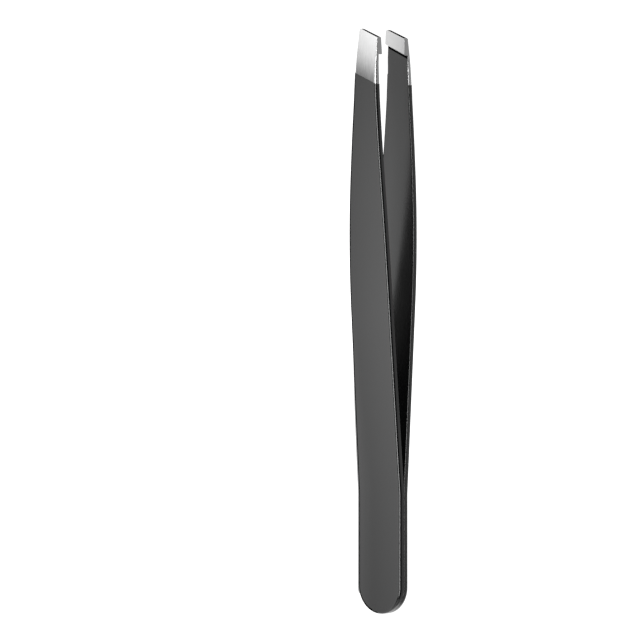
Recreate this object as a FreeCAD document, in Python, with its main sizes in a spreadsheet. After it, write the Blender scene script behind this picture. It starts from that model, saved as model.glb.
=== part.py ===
import FreeCAD, Part
import math
import os

import Sketcher
from FreeCAD import Vector

# Slant tweezers, lying on the long edges of their two strips.
# X is the long axis, with the tips towards -X and the welded tail towards +X. Y is the squeezing
# direction, and Y = 0 is the mirror plane between the arms. Z runs across the width of the strips.
# Each piece is drawn with its origin in the middle of the tail's end. Its Placement then puts the
# origin of the whole tool at the middle of its footprint.
# A station is a distance from the tail's end, and a depth is a distance from the mirror plane.

# Driving dimensions, in millimetres and degrees.
DIMENSIONS = {
    "overall_length": 96.0,
    "stock": 12.0,               # reach of the cutting shapes, more than any width or depth
    # steel strip, seen along its width
    "tail_strip": 1.06,          # thickness of one strip
    "bend_station": 19.8,        # outer face turns away from the mirror plane
    "flare_angle": 4.6,
    "bow_station": 50.0,         # straight flare ends, and the bow back to parallel begins
    "bow_radius": 420.0,
    "crotch_station": 19.84,     # inner faces part, and run parallel to the outer ones
    "inner_flare_angle": 4.6,
    "inner_bow_radius": 421.06,
    "tip_bow_station": 84.0,     # outer face is ground down from here
    "tip_bow_radius": 60.0,
    "tip_angle": 7.5,
    # steel strip, seen on its broad face
    "tail_radius": 4.43,         # round end, and half the width of the tail
    "side_angle": 0.6,
    "waist_station": 50.0,       # sides begin to curve in
    "waist_radius": 375.0,
    "neck_angle": 3.9,
    "neck_station": 84.3,        # sides ease off towards the tip
    "tip_side_angle": 2.3,
    "slant_angle": 23.0,         # working edge, from square
    # gripping pad inside each tip
    "pad_length": 2.65,
    "pad_edge_angle": 25.0,
    "pad_root_station": 90.5,    # pad's stock reaches down to here before it is relieved
    "pad_bevel": 0.15,
    # lacquer
    "coat": 0.05,
    "coat_end_station": 87.7,    # on the outer face and the sides
    # spring action
    "flex_station": 26.0,        # where an arm bends when squeezed
    "flex_gap": 0.06,
    "closing_angle": 2.5,
    "closed_clearance": 0.02,    # from a pad to the mirror plane when the tips are shut
    # resistance welds
    "weld_radius": 1.8,
    "weld_height": 0.8,
    "first_weld_station": 7.0,
    "weld_pitch": 7.0,
}
WELD_COUNT = 2
CLOSE = 1e-6

# Positions worked out from the driving dimensions, as expressions of the sheet's cells.
FLARE_END_DEPTH = "(Dims.tail_strip + (Dims.bow_station - Dims.bend_station) * tan(Dims.flare_angle))"
BOW_END_STATION = "(Dims.bow_station + Dims.bow_radius * sin(Dims.flare_angle))"
BELLY_DEPTH = f"({FLARE_END_DEPTH} + Dims.bow_radius * (1 - cos(Dims.flare_angle)))"
TIP_BOW_END_STATION = "(Dims.tip_bow_station + Dims.tip_bow_radius * sin(Dims.tip_angle))"
TIP_BOW_END_DEPTH = f"({BELLY_DEPTH} - Dims.tip_bow_radius * (1 - cos(Dims.tip_angle)))"
TIP_DEPTH = f"({TIP_BOW_END_DEPTH} - (Dims.overall_length - {TIP_BOW_END_STATION}) * tan(Dims.tip_angle))"
INNER_FLARE_END_DEPTH = "((Dims.bow_station - Dims.crotch_station) * tan(Dims.inner_flare_angle))"
INNER_BOW_END_STATION = "(Dims.bow_station + Dims.inner_bow_radius * sin(Dims.inner_flare_angle))"
INNER_BELLY_DEPTH = (
    f"({INNER_FLARE_END_DEPTH} + Dims.inner_bow_radius * (1 - cos(Dims.inner_flare_angle)))"
)

# The arm bends about a point at mid-thickness. The pad's face, turned about it by the closing
# angle, lies along the mirror plane.
FLEX_DEPTH = (
    "((Dims.tail_strip + (Dims.flex_station - Dims.bend_station) * tan(Dims.flare_angle)"
    " + (Dims.flex_station - Dims.crotch_station) * tan(Dims.inner_flare_angle)) / 2)"
)
PAD_REACH = f"({FLEX_DEPTH} - Dims.closed_clearance)"
PAD_FOOT_STATION = f"(Dims.flex_station + {PAD_REACH} * sin(Dims.closing_angle))"
PAD_FOOT_DEPTH = f"({FLEX_DEPTH} - {PAD_REACH} * cos(Dims.closing_angle))"

WAIST_HALF_WIDTH = "(Dims.tail_radius - (Dims.waist_station - Dims.bend_station) * tan(Dims.side_angle))"
WAIST_END_STATION = (
    "(Dims.waist_station + Dims.waist_radius * (sin(Dims.neck_angle) - sin(Dims.side_angle)))"
)
WAIST_END_HALF_WIDTH = (
    f"({WAIST_HALF_WIDTH} - Dims.waist_radius * (cos(Dims.side_angle) - cos(Dims.neck_angle)))"
)
NECK_HALF_WIDTH = (
    f"({WAIST_END_HALF_WIDTH} - (Dims.neck_station - {WAIST_END_STATION}) * tan(Dims.neck_angle))"
)
TIP_HALF_WIDTH = (
    f"({NECK_HALF_WIDTH} - (Dims.overall_length - Dims.neck_station) * tan(Dims.tip_side_angle))"
)
SLANT_BY_SIDE = "(tan(Dims.slant_angle) * tan(Dims.tip_side_angle))"
SHORT_CORNER_HALF_WIDTH = f"({TIP_HALF_WIDTH} * (1 + {SLANT_BY_SIDE}) / (1 - {SLANT_BY_SIDE}))"
SHORT_CORNER_STATION = (
    f"(Dims.overall_length - ({TIP_HALF_WIDTH} + {SHORT_CORNER_HALF_WIDTH}) * tan(Dims.slant_angle))"
)
PAD_EDGE_STATION = (
    f"(Dims.overall_length - {TIP_HALF_WIDTH} * tan(Dims.slant_angle) - Dims.pad_length)"
)

doc = FreeCAD.newDocument("slant_tweezers")
sheet = doc.addObject("Spreadsheet::Sheet", "Dims")
for row, (alias, value) in enumerate(DIMENSIONS.items(), start=1):
    sheet.set(f"A{row}", alias)
    sheet.set(f"B{row}", str(value))
    sheet.setAlias(f"B{row}", alias)
doc.recompute()


def value_of(expression):
    """Number that an expression of the sheet's cells gives now."""
    return float(sheet.evalExpression(expression))


def origin_plane(body, role):
    return next(feature for feature in body.Origin.OriginFeatures if feature.Role == role)


def place(part):
    """Moves a piece from the tail's end to the middle of the whole tool's footprint."""
    part.setExpression("Placement.Base.x", "Dims.overall_length / 2")
    part.setExpression("Placement.Base.z", "Dims.tail_radius + Dims.coat")


def new_sketch(body, name, role):
    sketch = body.newObject("Sketcher::SketchObject", name)
    sketch.AttachmentSupport = [(origin_plane(body, role), "")]
    sketch.MapMode = "FlatFace"
    return sketch


def arc_between(start, end, radius, side):
    """Arc of up to a half turn. It bulges to the left of the way from start to end if side is 1."""
    chord = end - start
    rise = radius - math.sqrt(radius ** 2 - chord.Length ** 2 / 4)
    left = Vector(-chord.y, chord.x, 0).normalize()
    return Part.Arc(start, (start + end) / 2 + left * rise * side, end)


def draw_outline(sketch, corners, arcs):
    """Closed outline whose corners are pairs of expressions: a station, and a depth or a drop.

    arcs maps a corner's number to the radius and side of the arc that leaves it. Lines join the rest.
    """
    points = [Vector(-value_of(station), -value_of(depth), 0) for station, depth in corners]
    pieces = []
    for index, start in enumerate(points):
        end = points[(index + 1) % len(points)]
        if index in arcs:
            radius, side = arcs[index]
            pieces.append(arc_between(start, end, value_of(radius), side))
        else:
            pieces.append(Part.LineSegment(start, end))
    first = sketch.GeometryCount
    sketch.addGeometry(pieces, False)

    def end_number(index, point):
        """1 or 2, for the end of a piece that lies at a point."""
        return 1 if (sketch.getPoint(first + index, 1) - point).Length < CLOSE else 2

    for index, (station, depth) in enumerate(corners):
        before = (index - 1) % len(corners)
        here = (first + index, end_number(index, points[index]))
        there = (first + before, end_number(before, points[index]))
        sketch.addConstraint(Sketcher.Constraint("Coincident", *there, *here))
        for kind, expression in (("DistanceX", station), ("DistanceY", depth)):
            number = sketch.addConstraint(Sketcher.Constraint(kind, *here, -1, 1, value_of(expression)))
            sketch.setExpression(f"Constraints[{number}]", expression)
    for index, (radius, _) in arcs.items():
        number = sketch.addConstraint(Sketcher.Constraint("Radius", first + index, value_of(radius)))
        sketch.setExpression(f"Constraints[{number}]", radius)


def side_profile(body, growth):
    """Strip of the front arm seen along its width, with the pad's stock still full."""
    sketch = new_sketch(body, "side_profile", "XY_Plane")

    def pad_depth(station):
        return f"{PAD_FOOT_DEPTH} + ({station} - {PAD_FOOT_STATION}) * tan(Dims.closing_angle) - {growth}"

    end = f"Dims.coat - {growth}"
    corners = [
        (end, f"Dims.tail_strip + {growth}"),
        ("Dims.bend_station", f"Dims.tail_strip + {growth}"),
        ("Dims.bow_station", f"{FLARE_END_DEPTH} + {growth}"),
        (BOW_END_STATION, f"{BELLY_DEPTH} + {growth}"),
        ("Dims.tip_bow_station", f"{BELLY_DEPTH} + {growth}"),
        (TIP_BOW_END_STATION, f"{TIP_BOW_END_DEPTH} + {growth}"),
        ("Dims.overall_length", f"{TIP_DEPTH} + {growth}"),
        ("Dims.overall_length", pad_depth("Dims.overall_length")),
        ("Dims.pad_root_station", pad_depth("Dims.pad_root_station")),
        ("Dims.pad_root_station", f"{INNER_BELLY_DEPTH} - {growth}"),
        (INNER_BOW_END_STATION, f"{INNER_BELLY_DEPTH} - {growth}"),
        ("Dims.bow_station", f"{INNER_FLARE_END_DEPTH} - {growth}"),
        ("Dims.crotch_station", f"-{growth}"),
        (end, f"-{growth}"),
    ]
    arcs = {
        2: ("Dims.bow_radius", 1),
        4: ("Dims.tip_bow_radius", 1),
        10: ("Dims.inner_bow_radius", -1),
    }
    draw_outline(sketch, corners, arcs)
    return sketch


def waste_around_face(body, growth):
    """Everything outside the strip's broad face: a frame on the XZ plane, with the strip left out.

    A drop is a distance below the middle of the strip's width, so the upper side has negative ones.
    """
    sketch = new_sketch(body, "waste_around_face", "XZ_Plane")
    near = "-Dims.stock"
    far = "Dims.overall_length + Dims.stock"
    frame = [(near, "-Dims.stock"), (far, "-Dims.stock"), (far, "Dims.stock"), (near, "Dims.stock")]
    draw_outline(sketch, frame, {})
    side = [
        ("Dims.tail_radius + Dims.coat", "Dims.tail_radius"),
        ("Dims.bend_station", "Dims.tail_radius"),
        ("Dims.waist_station", WAIST_HALF_WIDTH),
        (WAIST_END_STATION, WAIST_END_HALF_WIDTH),
        ("Dims.neck_station", NECK_HALF_WIDTH),
    ]
    upper = [(station, f"-({width} + {growth})") for station, width in side]
    lower = [(station, f"{width} + {growth}") for station, width in reversed(side)]
    short_corner = (SHORT_CORNER_STATION, f"-({SHORT_CORNER_HALF_WIDTH} + {growth})")
    long_corner = ("Dims.overall_length", f"{TIP_HALF_WIDTH} + {growth}")
    tail_end = (f"Dims.coat - {growth}", "0")
    corners = upper + [short_corner, long_corner] + lower + [tail_end]
    waist = ("Dims.waist_radius", -1)
    tail_round = (f"Dims.tail_radius + {growth}", -1)
    last_lower = len(corners) - 2
    arcs = {2: waist, last_lower - 3: waist, last_lower: tail_round, last_lower + 1: tail_round}
    draw_outline(sketch, corners, arcs)
    return sketch


def slanted_region(body, name, start, middle, angle):
    """From a square line at the station start to a slanted one, or beyond that one if start is None."""
    sketch = new_sketch(body, name, "XZ_Plane")
    far = start or "Dims.overall_length + Dims.stock"
    lean = f"Dims.stock * tan({angle})"
    corners = [
        (f"{middle} - {lean}", "-Dims.stock"),
        (f"{middle} + {lean}", "Dims.stock"),
        (far, "Dims.stock"),
        (far, "-Dims.stock"),
    ]
    draw_outline(sketch, corners, {})
    return sketch


def cut_away(body, sketch, length, sides):
    """Pocket of a sketch, towards -Y or both ways, checked to have removed something."""
    doc.recompute()
    before = body.Shape.Volume
    pocket = body.newObject("PartDesign::Pocket", f"cut_{sketch.Name}")
    pocket.Profile = sketch
    pocket.Type = "Length"
    pocket.SideType = sides
    pocket.Reversed = True
    pocket.setExpression("Length", length)
    doc.recompute()
    if body.Shape.Volume > before - CLOSE:
        raise RuntimeError(f"{pocket.Name} removed nothing from {body.Name}")


def strip_body(name, growth):
    """Full-length strip of the front arm. growth is 0 for the steel, or the lacquer's thickness."""
    body = doc.addObject("PartDesign::Body", name)
    plate = body.newObject("PartDesign::Pad", f"{name}_plate")
    plate.Profile = side_profile(body, growth)
    plate.SideType = "Symmetric"
    plate.setExpression("Length", "2 * Dims.stock")
    below_root = "Dims.pad_root_station - Dims.pad_length"
    relief = slanted_region(body, "relief", below_root, PAD_EDGE_STATION, "Dims.pad_edge_angle")
    cut_away(body, relief, f"{INNER_BELLY_DEPTH} - {growth}", "One side")
    cut_away(body, waste_around_face(body, growth), "2 * Dims.stock", "Symmetric")
    return body


def is_pad_heel(edge):
    """The slanted edge of the pad's gripping face that looks back along the arm."""
    first, last = (vertex.Point for vertex in edge.Vertexes)
    slope = math.tan(math.radians(value_of("Dims.pad_edge_angle")))
    on_line = all(abs(-p.x - value_of(PAD_EDGE_STATION) + p.z * slope) < CLOSE for p in (first, last))
    on_face = max(-first.y, -last.y) < value_of(INNER_BELLY_DEPTH) - value_of("Dims.pad_bevel")
    return on_line and on_face and abs(first.z - last.z) > 1


def steel_strip():
    body = strip_body("front_strip", "0")
    heel = [f"Edge{number}" for number, edge in enumerate(body.Shape.Edges, 1) if is_pad_heel(edge)]
    relieved = body.Tip
    bevel = body.newObject("PartDesign::Chamfer", "pad_bevel")
    bevel.Base = (relieved, heel)
    bevel.setExpression("Size", "Dims.pad_bevel")
    doc.recompute()
    return body


def lacquered_strip():
    """Outer shape of the lacquered stretch, bare beyond the ends of the lacquer."""
    body = strip_body("front_lacquered", "Dims.coat")
    pad_side = slanted_region(body, "pad_side", None, PAD_EDGE_STATION, "Dims.pad_edge_angle")
    cut_away(body, pad_side, "2 * Dims.stock", "Symmetric")
    bare_tip = slanted_region(body, "bare_tip", None, "Dims.coat_end_station", "Dims.slant_angle")
    bare_tip.setExpression("AttachmentOffset.Base.z", INNER_BELLY_DEPTH)
    cut_away(body, bare_tip, "Dims.stock", "One side")
    return body


def zone(name, start, end):
    """Box over one stretch of the tool, from one station to a farther one."""
    box = doc.addObject("Part::Box", name)
    box.setExpression("Length", f"{end} - ({start})")
    box.setExpression("Width", "2 * Dims.stock")
    box.setExpression("Height", "2 * Dims.stock")
    box.setExpression("Placement.Base.x", f"-({end})")
    box.setExpression("Placement.Base.y", "-Dims.stock")
    box.setExpression("Placement.Base.z", "-Dims.stock")
    return box


def boolean(kind, name, base, tool):
    result = doc.addObject(f"Part::{kind}", name)
    result.Base = base
    result.Tool = tool
    return result


def compound(name, links):
    result = doc.addObject("Part::Compound", name)
    result.Links = links
    return result


def mirrored(name, source):
    mirror = doc.addObject("Part::Mirroring", name)
    mirror.Source = source
    mirror.Normal = Vector(0, 1, 0)
    return mirror


def weld_nugget(number):
    """Lens of fused steel, where two balls overlap across the mirror plane."""
    ball_radius = "((Dims.weld_radius ^ 2 + Dims.weld_height ^ 2 / 4) / Dims.weld_height)"
    balls = []
    for side in (-1, 1):
        ball = doc.addObject("Part::Sphere", f"weld_ball_{number}_{'back' if side > 0 else 'front'}")
        ball.setExpression("Radius", ball_radius)
        ball.setExpression("Placement.Base.x", f"-(Dims.first_weld_station + {number} * Dims.weld_pitch)")
        ball.setExpression("Placement.Base.y", f"{side} * ({ball_radius} - Dims.weld_height / 2)")
        balls.append(ball)
    return boolean("Common", f"weld_nugget_{number}", *balls)


steel = steel_strip()
lacquered = lacquered_strip()
tail_zone = zone("tail_zone", "-Dims.stock", "Dims.flex_station - Dims.flex_gap / 2")
blade_zone = zone("blade_zone", "Dims.flex_station + Dims.flex_gap / 2", "Dims.overall_length + Dims.stock")

# weld_sockets stays unplaced, as the steel is where it is cut, and weld_nuggets is the piece itself.
nuggets = [weld_nugget(number) for number in range(WELD_COUNT)]
weld_sockets = compound("weld_sockets", nuggets)
weld_nuggets = compound("weld_nuggets", nuggets)

tail_steel = boolean("Common", "tail_steel", steel, tail_zone)
front_arm_tail = boolean("Cut", "front_arm_tail", tail_steel, weld_sockets)
front_arm_blade = boolean("Common", "front_arm_blade", steel, blade_zone)

blade_lacquered = boolean("Common", "blade_lacquered", lacquered, blade_zone)
front_blade_lacquer = boolean("Cut", "front_blade_lacquer", blade_lacquered, steel)

# One skin runs round both strips in the tail.
tail_lacquered = boolean("Common", "tail_lacquered", lacquered, tail_zone)
tail_skin = boolean("Fuse", "tail_skin", tail_lacquered, mirrored("tail_lacquered_back", tail_lacquered))
tail_core = boolean("Fuse", "tail_core", steel, mirrored("back_strip", steel))
tail_lacquer = boolean("Cut", "tail_lacquer", tail_skin, tail_core)

pieces = [weld_nuggets, front_arm_tail, front_arm_blade, front_blade_lacquer, tail_lacquer]
for front in (front_arm_tail, front_arm_blade, front_blade_lacquer):
    pieces.append(mirrored(front.Name.replace("front", "back"), front))
for piece in pieces:
    if not piece.Name.startswith("back"):
        place(piece)
doc.recompute()

failed = [item.Name for item in doc.Objects if {"Invalid", "Error"} & set(item.State)]
if failed:
    raise RuntimeError(f"did not recompute: {failed}")
for piece in pieces:
    if piece.Shape.isNull() or not piece.Shape.isValid():
        raise RuntimeError(f"{piece.Label} has no valid shape")

os.makedirs("parts", exist_ok=True)
for piece in pieces:
    piece.Shape.exportStep(f"parts/{piece.Label}.step")
    box = piece.Shape.BoundBox
    extent = ", ".join(
        f"{low:.2f} to {high:.2f}"
        for low, high in ((box.XMin, box.XMax), (box.YMin, box.YMax), (box.ZMin, box.ZMax))
    )
    print(f"{piece.Label}: {len(piece.Shape.Solids)} solid(s), {piece.Shape.Volume:.2f} mm3, {extent}")
print(f"flex depth {value_of(FLEX_DEPTH):.4f} mm, belly depth {value_of(BELLY_DEPTH):.3f} mm")
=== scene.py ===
import math
from collections import namedtuple

import bmesh
import bpy
from mathutils import Matrix, Vector


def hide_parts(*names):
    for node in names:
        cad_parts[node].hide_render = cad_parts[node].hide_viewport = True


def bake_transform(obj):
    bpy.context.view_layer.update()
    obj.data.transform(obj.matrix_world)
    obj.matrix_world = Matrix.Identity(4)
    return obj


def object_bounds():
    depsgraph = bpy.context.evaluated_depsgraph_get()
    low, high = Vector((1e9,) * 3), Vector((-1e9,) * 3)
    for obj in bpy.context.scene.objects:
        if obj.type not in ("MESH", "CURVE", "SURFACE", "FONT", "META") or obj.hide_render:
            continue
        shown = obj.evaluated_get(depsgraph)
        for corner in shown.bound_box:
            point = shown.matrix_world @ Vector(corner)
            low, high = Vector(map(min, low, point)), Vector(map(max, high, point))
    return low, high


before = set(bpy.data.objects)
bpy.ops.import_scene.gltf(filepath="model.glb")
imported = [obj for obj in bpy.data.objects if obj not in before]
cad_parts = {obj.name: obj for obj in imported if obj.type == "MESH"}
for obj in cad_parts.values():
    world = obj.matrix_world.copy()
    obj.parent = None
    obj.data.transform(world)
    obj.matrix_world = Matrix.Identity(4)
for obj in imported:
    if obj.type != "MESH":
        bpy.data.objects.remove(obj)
cad_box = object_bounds()

# Slant tweezers lying on their long edges, in the CAD frame: +X from the tips to the welded tail, Y the
# squeezing direction with the mirror plane at Y = 0, +Z across the width of the strips.
# A station is a distance from the tail's end, a depth is a distance from the mirror plane, and an across
# is a distance from the middle of the width, positive towards +Z.

MM = 0.001
TAIL_END = cad_box[1].x / MM
MIDDLE_HEIGHT = (cad_box[0].z + cad_box[1].z) / 2 / MM

# Shape of one strip, in millimetres and degrees, the same as the CAD solids.
OVERALL_LENGTH = (cad_box[1].x - cad_box[0].x) / MM
COAT = 0.05
TAIL_STRIP = 1.06
BEND_STATION = 19.8
FLARE_ANGLE = math.radians(4.6)
BOW_STATION = 50.0
BOW_RADIUS = 420.0
CROTCH_STATION = 19.84
INNER_FLARE_ANGLE = math.radians(4.6)
INNER_BOW_RADIUS = 421.06
TIP_BOW_STATION = 84.0
TIP_BOW_RADIUS = 60.0
TIP_ANGLE = math.radians(7.5)
TAIL_RADIUS = (cad_box[1].z - cad_box[0].z) / 2 / MM - COAT
SIDE_ANGLE = math.radians(0.6)
WAIST_STATION = 50.0
WAIST_RADIUS = 375.0
NECK_ANGLE = math.radians(3.9)
NECK_STATION = 84.3
TIP_SIDE_ANGLE = math.radians(2.3)
SLANT_ANGLE = math.radians(23.0)
PAD_LENGTH = 2.65
PAD_EDGE_ANGLE = math.radians(25.0)
PAD_BEVEL = 0.15
PAD_WALL = 0.015            # run of the pad's steep edge, between its foot and its bevel
COAT_END_STATION = 87.7
FLEX_STATION = 26.0
CLOSING_ANGLE = math.radians(2.5)
CLOSED_CLEARANCE = 0.02

# Rounded edges, which the CAD solids leave sharp.
OUTER_ROUND = 0.42
INNER_ROUND = 0.13
BARE_ROUND = 0.12           # outer edges at the end of the tip
SEAM_ROUND = 0.02           # inner edges in the tail, where the lacquer runs over the seam
GROUND_ROUND = 0.03         # edges of the pad and of the working edge
LONG_CORNER_ROUND = 0.3     # in plan
SHORT_CORNER_ROUND = 0.12
OUTER_EASING = (84, 94)     # stations between which the outer edges go from lacquered to bare
INNER_EASING = (89, 91.5)   # and the inner edges from lacquered to ground
OPENING_LENGTH = 3          # past the crotch, until the inner edges are fully rounded
ROUND_STEPS = 5
CORNER_STEPS = 6
# Painted shade: the rounded lower edges that face outwards take lacquer without reflection, for a dark
# rim beneath the tool.
UNDERSIDE = -0.05           # a rounded edge is matt where its normal points lower than this
OUTWARD = 0.5               # and more along Y than this
# Painted shadow: a line of lacquer without reflection at the foot of the pad, for the shade in the
# recess beside it.
PAD_FOOT_SHADOW_WIDTH = 0.58        # width of the matt line of lacquer at the foot of the pad
SEAM = 0.003                # from the steel's inner face to the mirror plane in the tail
SKIN = 0.045                # thickness of the lacquer's mesh, just clear of the steel

COLUMNS = (0.0, 0.025, 0.16, 0.33, 0.5, 0.67, 0.84, 0.975, 1.0)
LEAN_EASING = (76, 86)      # stations between which the lines across a strip turn to the slant
FLEX_END_STATION = 32.0     # closely spaced lines about the flex station end here
TIP_ROWS_STATION = 78.0     # and begin again here for the tip
CREASE_ANGLE = math.radians(38)
FACE_WEIGHT = 80            # pull of the broad faces on the shading of their edges

# A line across a strip: its ends in plan, and the way in from each along the line.
Row = namedtuple("Row", "left left_in right right_in")


def bowed(station, start, angle, bow_station, radius, base):
    """Depth of a face that flares straight from a start and then bows back to parallel."""
    depth = base + max(min(station, bow_station) - start, 0) * math.tan(angle)
    if station > bow_station:
        left = max(radius * math.sin(angle) - (station - bow_station), 0)
        depth += math.sqrt(radius ** 2 - left ** 2) - radius * math.cos(angle)
    return depth


def ground_off(station):
    """How far the outer face of the tip is ground down."""
    past = max(station - TIP_BOW_STATION, 0)
    turned = min(past, TIP_BOW_RADIUS * math.sin(TIP_ANGLE))
    drop = TIP_BOW_RADIUS - math.sqrt(TIP_BOW_RADIUS ** 2 - turned ** 2)
    return drop + (past - turned) * math.tan(TIP_ANGLE)


def outer_depth(station):
    return bowed(
        station, BEND_STATION, FLARE_ANGLE, BOW_STATION, BOW_RADIUS, TAIL_STRIP
    ) - ground_off(station)


def inner_depth(station):
    """Inner face, away from the pad."""
    return bowed(station, CROTCH_STATION, INNER_FLARE_ANGLE, BOW_STATION, INNER_BOW_RADIUS, 0)


FLEX_DEPTH = (outer_depth(FLEX_STATION) + inner_depth(FLEX_STATION)) / 2


def pad_depth(station):
    """Gripping face, which lies along the mirror plane when the tips are shut."""
    reach = FLEX_DEPTH - CLOSED_CLEARANCE
    foot_station = FLEX_STATION + reach * math.sin(CLOSING_ANGLE)
    foot_depth = FLEX_DEPTH - reach * math.cos(CLOSING_ANGLE)
    return foot_depth + (station - foot_station) * math.tan(CLOSING_ANGLE)


def half_width(station):
    """Half the steel's width, past the round end."""
    waist_end = WAIST_STATION + WAIST_RADIUS * (math.sin(NECK_ANGLE) - math.sin(SIDE_ANGLE))
    width = TAIL_RADIUS
    width -= max(min(station, WAIST_STATION) - BEND_STATION, 0) * math.tan(SIDE_ANGLE)
    turned = max(min(station, waist_end) - WAIST_STATION, 0) / WAIST_RADIUS
    angle = math.asin(math.sin(SIDE_ANGLE) + turned)
    width -= WAIST_RADIUS * (math.cos(SIDE_ANGLE) - math.cos(angle))
    width -= max(min(station, NECK_STATION) - waist_end, 0) * math.tan(NECK_ANGLE)
    return width - max(station - NECK_STATION, 0) * math.tan(TIP_SIDE_ANGLE)


TIP_HALF_WIDTH = half_width(OVERALL_LENGTH)
EDGE_MIDDLE = OVERALL_LENGTH - TIP_HALF_WIDTH * math.tan(SLANT_ANGLE)
PAD_EDGE_STATION = EDGE_MIDDLE - PAD_LENGTH


def mix(a, b, share):
    return a + (b - a) * share


def eased(value, start, end):
    """0 before start and 1 after end, smoothly between."""
    share = max(0.0, min(1.0, (value - start) / (end - start)))
    return share * share * (3 - 2 * share)


# ---- lines across a strip ----


def round_row(angle, radius):
    """Line across the round tail. The angle is 0 at the very end and a right angle at full width."""
    centre = COAT + TAIL_RADIUS
    station = centre - radius * math.cos(angle)
    across = radius * math.sin(angle)
    inward = Vector((math.cos(angle), math.sin(angle)))
    return Row(
        Vector((station, -across)),
        inward,
        Vector((station, across)),
        Vector((inward.x, -inward.y)),
    )


def slanted_row(middle, lean):
    """Line across the strip whose +Z end lies nearer the tail by the lean. Its ends move in along it."""
    slope = math.tan(lean)
    refinements, probe = 12, 0.01
    ends = []
    for side in (-1, 1):
        across = side * half_width(middle)
        for _ in range(refinements):
            across = side * half_width(middle - across * slope)
        station = middle - across * slope
        taper = (half_width(station + probe) - half_width(station - probe)) / (2 * probe)
        inward = Vector((side * slope, -side)) * math.hypot(taper, 1) / (1 + side * slope * taper)
        ends += [Vector((station, across)), inward]
    return Row(*ends)


def corner_arc(corner, along_side, along_edge, radius, share):
    """Point on a rounded corner of the working edge, and the way to the arc's centre."""
    half = along_side.angle(along_edge) / 2
    centre = corner + (along_side + along_edge).normalized() * radius / math.sin(half)
    start = -(centre - corner - along_side * radius / math.tan(half)).normalized()
    end = -(centre - corner - along_edge * radius / math.tan(half)).normalized()
    outward = start.slerp(end, share)
    return centre + outward * radius, -outward


def working_edge_rows():
    """Lines that turn from the sides of the tip into its slanted edge, the last along the edge."""
    slant = Vector((-math.sin(SLANT_ANGLE), math.cos(SLANT_ANGLE)))
    taper = math.tan(TIP_SIDE_ANGLE)
    slant_by_side = math.tan(SLANT_ANGLE) * taper
    short_half_width = TIP_HALF_WIDTH * (1 + slant_by_side) / (1 - slant_by_side)
    long_corner = Vector((OVERALL_LENGTH, -TIP_HALF_WIDTH))
    short_corner = Vector((
        OVERALL_LENGTH - (TIP_HALF_WIDTH + short_half_width) * math.tan(SLANT_ANGLE),
        short_half_width,
    ))
    rows = []
    for step in range(CORNER_STEPS + 1):
        share = step / CORNER_STEPS
        left, left_in = corner_arc(
            long_corner, Vector((-1, -taper)).normalized(), slant, LONG_CORNER_ROUND, share
        )
        right, right_in = corner_arc(
            short_corner, Vector((-1, taper)).normalized(), -slant, SHORT_CORNER_ROUND, share
        )
        rows.append(Row(left, left_in, right, right_in))
    return rows


def spread(start, end, pitch):
    """Stations from start up to but not including end, as near the pitch as fits evenly."""
    count = max(1, round((end - start) / pitch))
    return [mix(start, end, number / count) for number in range(count)]


def strip_rows():
    """All the lines across a strip from the tail's end to the working edge, and where the zones meet."""
    round_steps = 18
    rows = [round_row(step / round_steps * math.pi / 2, TAIL_RADIUS) for step in range(round_steps + 1)]
    coated_crotch = CROTCH_STATION + COAT / math.tan(INNER_FLARE_ANGLE)

    # Each stretch has its start, its end and the pitch of its lines, closer where the strip bends more.
    before_crotch = (
        (COAT + TAIL_RADIUS + 1.2, BEND_STATION - 1, 2),
        (BEND_STATION - 1, CROTCH_STATION, 0.5),
    )
    past_crotch = (
        (coated_crotch + 0.6, FLEX_END_STATION, 0.8),
        (FLEX_END_STATION, BOW_STATION, 1.8),
        (BOW_STATION, TIP_ROWS_STATION, 1.4),
        (TIP_ROWS_STATION, COAT_END_STATION, 0.7),
    )
    stations = [station for stretch in before_crotch for station in spread(*stretch)]
    stations += [CROTCH_STATION, coated_crotch]
    stations += [station for stretch in past_crotch for station in spread(*stretch)]
    marks = {}
    for station in stations:
        if station == coated_crotch:
            marks["crotch"] = len(rows)
        rows.append(slanted_row(station, SLANT_ANGLE * eased(station, *LEAN_EASING)))
    marks["coat_end"] = len(rows)
    bare_pitch = 0.45
    for station in spread(COAT_END_STATION, PAD_EDGE_STATION - PAD_FOOT_SHADOW_WIDTH, bare_pitch):
        lean = mix(SLANT_ANGLE, PAD_EDGE_ANGLE, eased(station, COAT_END_STATION, PAD_EDGE_STATION - 1))
        rows.append(slanted_row(station, lean))
    rows.append(slanted_row(PAD_EDGE_STATION - PAD_FOOT_SHADOW_WIDTH, PAD_EDGE_ANGLE))
    marks["pad_foot"] = len(rows)

    # The pad's foot, the top of its steep edge, the top of its bevel, and lines over its face.
    for station in (0, PAD_WALL, PAD_BEVEL, PAD_BEVEL + 0.1, 0.7, 1.3):
        rows.append(slanted_row(PAD_EDGE_STATION + station, PAD_EDGE_ANGLE))
    rows += working_edge_rows()
    marks["end"] = len(rows) - 1
    return rows, marks


# ---- a strip's surface ----


def outer_round(station):
    return mix(OUTER_ROUND, BARE_ROUND, eased(station, *OUTER_EASING))


def inner_round(station):
    opening = eased(station, CROTCH_STATION, CROTCH_STATION + OPENING_LENGTH)
    return mix(mix(SEAM_ROUND, INNER_ROUND, opening), GROUND_ROUND, eased(station, *INNER_EASING))


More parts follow.
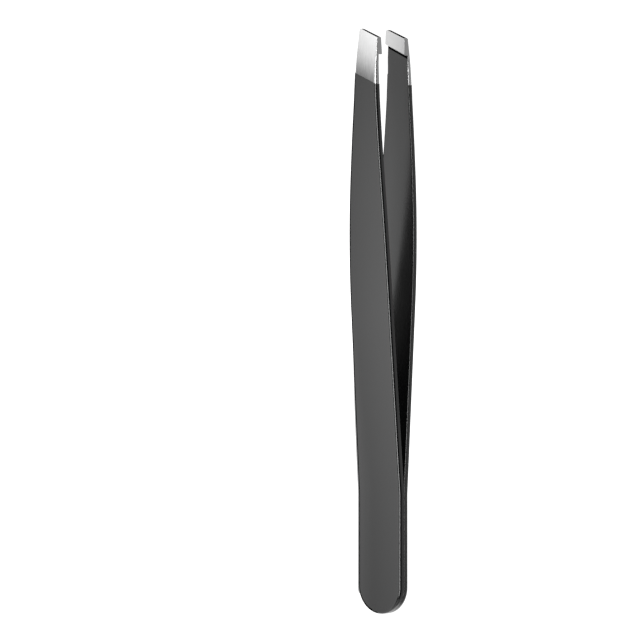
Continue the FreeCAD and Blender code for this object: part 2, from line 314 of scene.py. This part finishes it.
def strip_surface(side, growth):
    """Closed surface of a strip on the -Y side (side 1) or the +Y side (side -1), grown all round.

    Returns the bmesh, and for each face its kind and the number of the row that it starts from.
    """
    rows, marks = strip_rows()
    last, width = len(rows) - 1, len(COLUMNS) - 1
    surface = bmesh.new()
    kinds = {}

    def vertex(point, depth):
        return surface.verts.new((
            (TAIL_END - point.x) * MM,
            -side * depth * MM,
            (MIDDLE_HEIGHT + point.y) * MM,
        ))

    def outer_at(row, station):
        return outer_depth(station) + growth

    def inner_at(row, station):
        if row <= marks["pad_foot"]:
            return max(inner_depth(station) - growth, 0 if growth else SEAM)
        bevel = PAD_BEVEL if row == marks["pad_foot"] + 1 else 0
        return pad_depth(station) + bevel - growth

    def edge_of(row, column):
        """Point of the steel's outline in plan, the way in from it, and its two edge roundings."""
        line = rows[row]
        if column == 0:
            point, inward = line.left, line.left_in
        elif column == width:
            point, inward = line.right, line.right_in
        else:
            point, inward = mix(line.left, line.right, COLUMNS[column]), line.left_in
        if row == last:
            return point, inward, GROUND_ROUND, GROUND_ROUND
        fade = eased(row, last - CORNER_STEPS - 1, last - 1)
        return (
            point,
            inward,
            mix(outer_round(point.x), GROUND_ROUND, fade),
            inner_round(point.x),
        )

    def ring(key, inner, turn):
        """Vertex on a rounded edge. The turn is 0 at the face and a right angle at the side."""
        point, inward, outer_r, inner_r = edge_of(*key)
        radius = inner_r if inner else outer_r
        spot = point + inward * (radius - (radius + growth) * math.sin(turn))
        drop = (radius + growth) * (1 - math.cos(turn))
        if inner:
            return vertex(spot, inner_at(key[0], spot.x) + drop)
        return vertex(spot, outer_at(key[0], spot.x) - drop)

    def face_grid(inner):
        """Vertices of a broad face by row and column. The tail's end is a single one."""
        at = inner_at if inner else outer_at
        pick = 3 if inner else 2
        pole = ring((0, 0), inner, 0)
        grid = {(0, column): pole for column in range(width + 1)}
        for row in range(1, last + 1):
            ends = []
            for column in (0, width):
                edge = edge_of(row, column)
                ends.append(edge[0] + edge[1] * edge[pick])
            for column, share in enumerate(COLUMNS):
                spot = mix(ends[0], ends[1], share)
                grid[row, column] = vertex(spot, at(row, spot.x))
        return grid

    def add_face(kind, row, *corners):
        unique = list(dict.fromkeys(corners))
        kinds[surface.faces.new(unique)] = (kind, row)

    outline = [(row, 0) for row in range(last + 1)]
    outline += [(last, column) for column in range(1, width + 1)]
    outline += [(row, width) for row in range(last - 1, 0, -1)]
    grids = {False: face_grid(False), True: face_grid(True)}
    for inner, grid in grids.items():
        for row in range(last):
            for column in range(width):
                add_face(
                    "inner" if inner else "outer",
                    row,
                    grid[row, column],
                    grid[row, column + 1],
                    grid[row + 1, column + 1],
                    grid[row + 1, column],
                )
    turns = [step / ROUND_STEPS * math.pi / 2 for step in range(1, ROUND_STEPS + 1)]
    rings = [[grids[False][key] for key in outline]]
    rings += [[ring(key, False, turn) for key in outline] for turn in turns]
    rings += [[ring(key, True, turn) for key in outline] for turn in reversed(turns)]
    rings += [[grids[True][key] for key in outline]]
    for near, far in zip(rings, rings[1:]):
        for number, key in enumerate(outline):
            after = (number + 1) % len(outline)
            row = min(key[0], outline[after][0])
            add_face("edge", row, near[number], near[after], far[after], far[number])
    bmesh.ops.recalc_face_normals(surface, faces=surface.faces)
    return surface, kinds, marks


def finished(name, surface, materials):
    mesh = bpy.data.meshes.new(name)
    surface.to_mesh(mesh)
    surface.free()
    piece = bpy.data.objects.new(name, mesh)
    bpy.context.scene.collection.objects.link(piece)
    for material in materials:
        mesh.materials.append(material)
    return piece


def smoothed(piece):
    """Smooth shading that keeps the broad faces flat and the ground corners crisp."""
    piece.data.shade_smooth()
    piece.data.set_sharp_from_angle(angle=CREASE_ANGLE)
    weighted = piece.modifiers.new("weighted", "WEIGHTED_NORMAL")
    weighted.keep_sharp = True
    weighted.weight = FACE_WEIGHT
    return piece


def steel_strip(name, side, materials):
    """Whole strip of steel. The second to fourth materials go on its slanted end, pad and sides."""
    surface, kinds, marks = strip_surface(side, 0)
    for face, (kind, row) in kinds.items():
        if kind == "edge" and row == marks["end"]:
            face.material_index = 1
        elif kind == "edge":
            face.material_index = 3
        elif kind == "inner" and row > marks["pad_foot"]:
            face.material_index = 2
    return smoothed(finished(name, surface, materials))


def lacquer_skin(name, side, materials):
    """Skin over the strip. It stops on the slanted line outside and at the pad inside, and it leaves
    out the faces that are welded together.

    The second material, a lacquer without reflection, goes on the rounded lower edges and on the line at
    the foot of the pad, as painted shade for the dark rim beneath the tool and the shadow beside the
    pad.
    """
    surface, kinds, marks = strip_surface(side, COAT)
    stops = {"outer": marks["coat_end"], "edge": marks["coat_end"], "inner": marks["pad_foot"]}
    bare = [
        face
        for face, (kind, row) in kinds.items()
        if row >= stops[kind] or (kind == "inner" and row < marks["crotch"])
    ]
    for face in set(kinds) - set(bare):
        kind, row = kinds[face]
        # Painted shade goes on the line at the foot of the pad and on the lower edges that face
        # outwards.
        at_pad = kind == "inner" and row == marks["pad_foot"] - 1
        faces_out = abs(face.normal.y) > OUTWARD
        if at_pad or (kind == "edge" and faces_out and face.normal.z < UNDERSIDE):
            face.material_index = 1
    bmesh.ops.delete(surface, geom=bare, context="FACES")
    piece = finished(name, surface, materials)
    solidify = piece.modifiers.new("thickness", "SOLIDIFY")
    solidify.thickness = SKIN * MM
    solidify.offset = -1
    evaluated = piece.evaluated_get(bpy.context.evaluated_depsgraph_get())
    thick = bpy.data.meshes.new_from_object(evaluated)
    piece.modifiers.clear()
    piece.data = thick
    return smoothed(piece)


# ---- materials ----

BRUSHING = 0.12             # strength of the bump
BRUSHING_SCALE = (12, 8000, 8000)
BRUSHING_DEPTH = 0.00002
STREAK_SHIFT = 0.06         # unevenness of the tip's change of tone, as a share of the bare length
STEEL_ROUGHNESS = (0.29, 0.37)
PEEL = 0.03                 # strength of the bump
PEEL_SCALE = (4200, 4200, 4200)
PEEL_DEPTH = 0.00001
CLOUD_SCALE = (160, 400, 400)
LACQUER_ROUGHNESS = (0.17, 0.21)
# Painted shade: the bare tip's tone runs from dark at the lacquer to bright at the working edge,
# standing in for its reflections.
STEEL_PAINTED_SHADE_TONES = ((0.0, 0.16), (1.0, 0.74), (0.12, 0.23), (0.34, 0.42), (0.6, 0.6))
# Painted shade: the slanted end face is steel painted nearly black, without grazing reflections, for the
# dark band it shows.
END_PAINTED_SHADE_TONE = 0.03
PAD_TONE = 0.53
SIDE_TONE = 0.52
LACQUER_COLOUR = (0.0022, 0.0022, 0.0023, 1)
LACQUER_IOR = 1.6

# Painted light: the floor glows in soft bands along X and Y, over this reach each way from the middle of
# the tool.
FLOOR_BAND_REACH = 0.05
FLOOR_PAINTED_LIGHT_LENGTHWAYS = (
    (0.0, 0.64), (1.0, 0.66), (0.1, 0.68), (0.2, 0.8), (0.3, 0.88), (0.5, 1.0), (0.75, 0.88)
)
FLOOR_PAINTED_LIGHT_SIDEWAYS = (
    (0.0, 0.95), (1.0, 0.7), (0.3, 0.85), (0.4, 0.68), (0.45, 0.57), (0.5, 0.8), (0.56, 0.6)
)
FLOOR_GLOW = 2.4
FLOOR_COLOUR = (0.25, 0.25, 0.25, 1)
FLOOR_ROUGHNESS = 0.9
# Painted contact shadow: the floor's glow dims where something touches it.
CONTACT_REACH = 0.0003
CONTACT_OPENNESS = (0.45, 0.8)      # from touched to clear
CONTACT_SHARE = 0.15                # of the glow left where the floor is touched


def new_material(name):
    material = bpy.data.materials.new(name)
    material.use_nodes = True
    nodes = material.node_tree.nodes
    return material, nodes, material.node_tree.links, nodes["Principled BSDF"]


def noise(nodes, links, coordinates, scale, detail):
    """Noise stretched by a scale for each axis, in cycles per metre."""
    mapping = nodes.new("ShaderNodeMapping")
    mapping.inputs["Scale"].default_value = scale
    texture = nodes.new("ShaderNodeTexNoise")
    texture.inputs["Scale"].default_value = 1
    texture.inputs["Detail"].default_value = detail
    links.new(coordinates, mapping.inputs["Vector"])
    links.new(mapping.outputs["Vector"], texture.inputs["Vector"])
    return texture.outputs["Fac"]


def ranged(nodes, links, value, low, high, from_low=0.3, from_high=0.7):
    """The value's range, by default the usual one of noise, stretched to another one."""
    node = nodes.new("ShaderNodeMapRange")
    node.inputs["From Min"].default_value = from_low
    node.inputs["From Max"].default_value = from_high
    node.inputs["To Min"].default_value = low
    node.inputs["To Max"].default_value = high
    links.new(value, node.inputs["Value"])
    return node.outputs["Result"]


def bumped(nodes, links, height, strength, distance, shader):
    bump = nodes.new("ShaderNodeBump")
    bump.inputs["Strength"].default_value = strength
    bump.inputs["Distance"].default_value = distance
    links.new(height, bump.inputs["Height"])
    links.new(bump.outputs["Normal"], shader.inputs["Normal"])


def along_tip(nodes, links, place, streaks):
    """0 along the lacquer's slanted end and 1 along the working edge, slightly uneven in streaks."""
    split = nodes.new("ShaderNodeSeparateXYZ")
    links.new(place, split.inputs["Vector"])
    lean = nodes.new("ShaderNodeMath")
    lean.operation = "MULTIPLY_ADD"
    lean.inputs[1].default_value = -math.tan(SLANT_ANGLE)
    links.new(split.outputs["Z"], lean.inputs[0])
    links.new(split.outputs["X"], lean.inputs[2])
    lacquer_end = (TAIL_END - COAT_END_STATION - MIDDLE_HEIGHT * math.tan(SLANT_ANGLE)) * MM
    edge = (TAIL_END - EDGE_MIDDLE - MIDDLE_HEIGHT * math.tan(SLANT_ANGLE)) * MM
    along = ranged(nodes, links, lean.outputs["Value"], 0, 1, lacquer_end, edge)
    shifted = nodes.new("ShaderNodeMath")
    shifted.operation = "ADD"
    links.new(along, shifted.inputs[0])
    links.new(ranged(nodes, links, streaks, -STREAK_SHIFT, STREAK_SHIFT), shifted.inputs[1])
    return shifted.outputs["Value"]


def brushed_steel(name, tone, relief=BRUSHING, rim=1.0):
    """Bare steel with lengthways brushing. The tone is one value, or stops from the lacquer to the tip,
    which paint shade darker towards the lacquer.

    Relief is the strength of the brushing's bump, and rim is the tint of reflections near grazing.
    """
    material, nodes, links, shader = new_material(name)
    shader.inputs["Metallic"].default_value = 1
    shader.inputs["Specular Tint"].default_value = (rim, rim, rim, 1)
    place = nodes.new("ShaderNodeTexCoord").outputs["Object"]
    streaks = noise(nodes, links, place, BRUSHING_SCALE, 3)
    if isinstance(tone, float):
        shader.inputs["Base Color"].default_value = (tone, tone, tone, 1)
    else:
        along = along_tip(nodes, links, place, streaks)
        links.new(tone_ramp(nodes, links, along, tone), shader.inputs["Base Color"])
    links.new(ranged(nodes, links, streaks, *STEEL_ROUGHNESS), shader.inputs["Roughness"])
    if relief:
        bumped(nodes, links, streaks, relief, BRUSHING_DEPTH, shader)
    return material


def black_lacquer(name, specular):
    """Satin black coat with a very fine orange peel. Specular is 0.5 at full gloss and 0 with none."""
    material, nodes, links, shader = new_material(name)
    shader.inputs["Base Color"].default_value = LACQUER_COLOUR
    shader.inputs["IOR"].default_value = LACQUER_IOR
    shader.inputs["Specular IOR Level"].default_value = specular
    place = nodes.new("ShaderNodeTexCoord").outputs["Object"]
    peel = noise(nodes, links, place, PEEL_SCALE, 2)
    cloud = noise(nodes, links, place, CLOUD_SCALE, 2)
    links.new(ranged(nodes, links, cloud, *LACQUER_ROUGHNESS), shader.inputs["Roughness"])
    bumped(nodes, links, peel, PEEL, PEEL_DEPTH, shader)
    return material


def tone_ramp(nodes, links, value, stops):
    """Grey that follows a value through stops, each a position from 0 to 1 and a tone."""
    ramp = nodes.new("ShaderNodeValToRGB")
    elements = ramp.color_ramp.elements
    for number, (position, tone) in enumerate(stops):
        stop = elements[number] if number < 2 else elements.new(position)
        stop.position = position
        stop.color = (tone, tone, tone, 1)
    links.new(value, ramp.inputs["Fac"])
    return ramp.outputs["Color"]


def multiplied(nodes, links, first, second):
    node = nodes.new("ShaderNodeMath")
    node.operation = "MULTIPLY"
    links.new(first, node.inputs[0])
    if isinstance(second, float):
        node.inputs[1].default_value = second
    else:
        links.new(second, node.inputs[1])
    return node.outputs["Value"]


def pale_floor():
    """Pale sheet that glows with painted light in soft bands, with a painted contact shadow where
    something touches it.
    """
    material, nodes, links, shader = new_material("pale_floor")
    shader.inputs["Base Color"].default_value = FLOOR_COLOUR
    shader.inputs["Roughness"].default_value = FLOOR_ROUGHNESS
    shader.inputs["Specular IOR Level"].default_value = 0
    shader.inputs["Emission Color"].default_value = (1, 1, 1, 1)
    place = nodes.new("ShaderNodeTexCoord").outputs["Object"]
    split = nodes.new("ShaderNodeSeparateXYZ")
    links.new(place, split.inputs["Vector"])
    reach = FLOOR_BAND_REACH
    lengthways = ranged(nodes, links, split.outputs["X"], 0, 1, -reach, reach)
    sideways = ranged(nodes, links, split.outputs["Y"], 0, 1, -reach, reach)
    contact = nodes.new("ShaderNodeAmbientOcclusion")
    contact.inputs["Distance"].default_value = CONTACT_REACH
    touched = ranged(nodes, links, contact.outputs["AO"], CONTACT_SHARE, 1, *CONTACT_OPENNESS)
    glow = multiplied(
        nodes,
        links,
        tone_ramp(nodes, links, lengthways, FLOOR_PAINTED_LIGHT_LENGTHWAYS),
        tone_ramp(nodes, links, sideways, FLOOR_PAINTED_LIGHT_SIDEWAYS),
    )
    glow = multiplied(nodes, links, glow, touched)
    links.new(multiplied(nodes, links, glow, FLOOR_GLOW), shader.inputs["Emission Strength"])
    return material


# ---- the object ----

steels = [
    # The lengthways steel carries the painted shade that darkens the tip towards the lacquer.
    brushed_steel("brushed_steel", STEEL_PAINTED_SHADE_TONES),
    # The slanted end takes the painted shade.
    brushed_steel("ground_end", END_PAINTED_SHADE_TONE, rim=0.0),
    brushed_steel("ground_pad", PAD_TONE),
    brushed_steel("ground_side", SIDE_TONE, relief=0.0),
]
# The lacquer without reflection is painted shade, on the lower edges and at the foot of the pad.
lacquers = [black_lacquer("satin_black_lacquer", 0.5), black_lacquer("shade_painted_black_lacquer", 0.0)]
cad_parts["weld_nuggets"].data.materials.clear()
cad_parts["weld_nuggets"].data.materials.append(steels[0])


def at_station(station):
    """Point on the middle line of the tool."""
    return ((TAIL_END - station) * MM, 0, MIDDLE_HEIGHT * MM)


for word, side in (("front", 1), ("back", -1)):
    strip = steel_strip(f"{word}_steel", side, steels)
    skin = lacquer_skin(f"{word}_lacquer", side, lacquers)
    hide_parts(f"{word}_arm_tail", f"{word}_arm_blade")
    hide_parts(f"{word}_blade_lacquer", "tail_lacquer")
    for piece in (strip, skin):
        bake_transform(piece)

# ---- stage, light and camera ----

FLOOR_SIZE = 4.0
FLOOR_GAP = 0.00002         # below the tool
VIEW_ELEVATION = math.radians(40)
VIEW_DISTANCE = 0.72
VIEW_FORWARD = 0.0142       # camera's own place along the tool, towards the tips from the aim
FRAME_WIDTH = 0.1049        # width of the view at the tool
ASIDE = 0.010365            # tool's middle line from the middle of the view, to the right
AIM_STATION = 48.2
SOFTBOX_DISTANCE = 0.75

# Each light's name, azimuth, elevation, length, height and radiance.
SOFTBOXES = (
    ("key", -90, 42, 0.9, 0.2, 10.5),
    ("fill", 90, 35, 1.6, 0.6, 0.45),
    ("tail_fill", -5, 25, 0.8, 0.45, 1.0),
)
SKY_BY_HEIGHT = ((0.0, 1.0), (0.2, 0.03), (0.08, 1.0))

centre = Vector(at_station(AIM_STATION))
toward_camera = Vector((0, -math.cos(VIEW_ELEVATION), math.sin(VIEW_ELEVATION)))
image_right = Vector((0, math.sin(VIEW_ELEVATION), math.cos(VIEW_ELEVATION)))
aim = centre - image_right * ASIDE


def facing(location, target, up):
    """Placement that looks from a location at a target, with a given way up."""
    back = (location - target).normalized()
    right = up.cross(back).normalized()
    axes = Matrix((right, back.cross(right), back)).transposed()
    return Matrix.Translation(location) @ axes.to_4x4()


def add_camera():
    data = bpy.data.cameras.new("camera")
    data.lens = data.sensor_width * VIEW_DISTANCE / FRAME_WIDTH
    data.clip_start, data.clip_end = 0.01, 10
    camera = bpy.data.objects.new("camera", data)
    bpy.context.scene.collection.objects.link(camera)
    location = aim + toward_camera * VIEW_DISTANCE + Vector((-VIEW_FORWARD, 0, 0))
    camera.matrix_world = facing(location, aim, Vector((-1, 0, 0)))
    bpy.context.scene.camera = camera


def add_softbox(name, direction, length, height, radiance):
    """Rectangular light that faces the tool. Radiance is its brightness, whatever its size."""
    data = bpy.data.lights.new(name, "AREA")
    data.shape = "RECTANGLE"
    data.size, data.size_y = length, height
    data.energy = radiance * math.pi * length * height
    light = bpy.data.objects.new(name, data)
    light.visible_camera = False
    bpy.context.scene.collection.objects.link(light)
    location = centre + Vector(direction).normalized() * SOFTBOX_DISTANCE
    light.matrix_world = facing(location, centre, Vector((0, 0, 1)))


def add_floor():
    half = FLOOR_SIZE / 2
    mesh = bpy.data.meshes.new("floor")
    corners = [(-half, -half, 0), (half, -half, 0), (half, half, 0), (-half, half, 0)]
    mesh.from_pydata(corners, [], [(0, 1, 2, 3)])
    mesh.materials.append(pale_floor())
    floor = bpy.data.objects.new("floor", mesh)
    floor.location.z = -FLOOR_GAP
    bpy.context.scene.collection.objects.link(floor)


def add_studio():
    """Dim surroundings, a key light on the camera's side, and weaker ones behind and past the tail."""
    world = bpy.data.worlds.new("studio")
    world.use_nodes = True
    nodes, links = world.node_tree.nodes, world.node_tree.links
    split = nodes.new("ShaderNodeSeparateXYZ")
    links.new(nodes.new("ShaderNodeTexCoord").outputs["Generated"], split.inputs["Vector"])
    sky = tone_ramp(nodes, links, split.outputs["Z"], SKY_BY_HEIGHT)
    links.new(sky, nodes["Background"].inputs["Color"])
    bpy.context.scene.world = world
    for name, azimuth, elevation, length, height, radiance in SOFTBOXES:
        turn, rise = math.radians(azimuth), math.radians(elevation)
        direction = (
            math.cos(turn) * math.cos(rise), math.sin(turn) * math.cos(rise), math.sin(rise)
        )
        add_softbox(name, direction, length, height, radiance)


add_camera()
add_floor()
add_studio()
bpy.context.scene.view_settings.view_transform = "Standard"
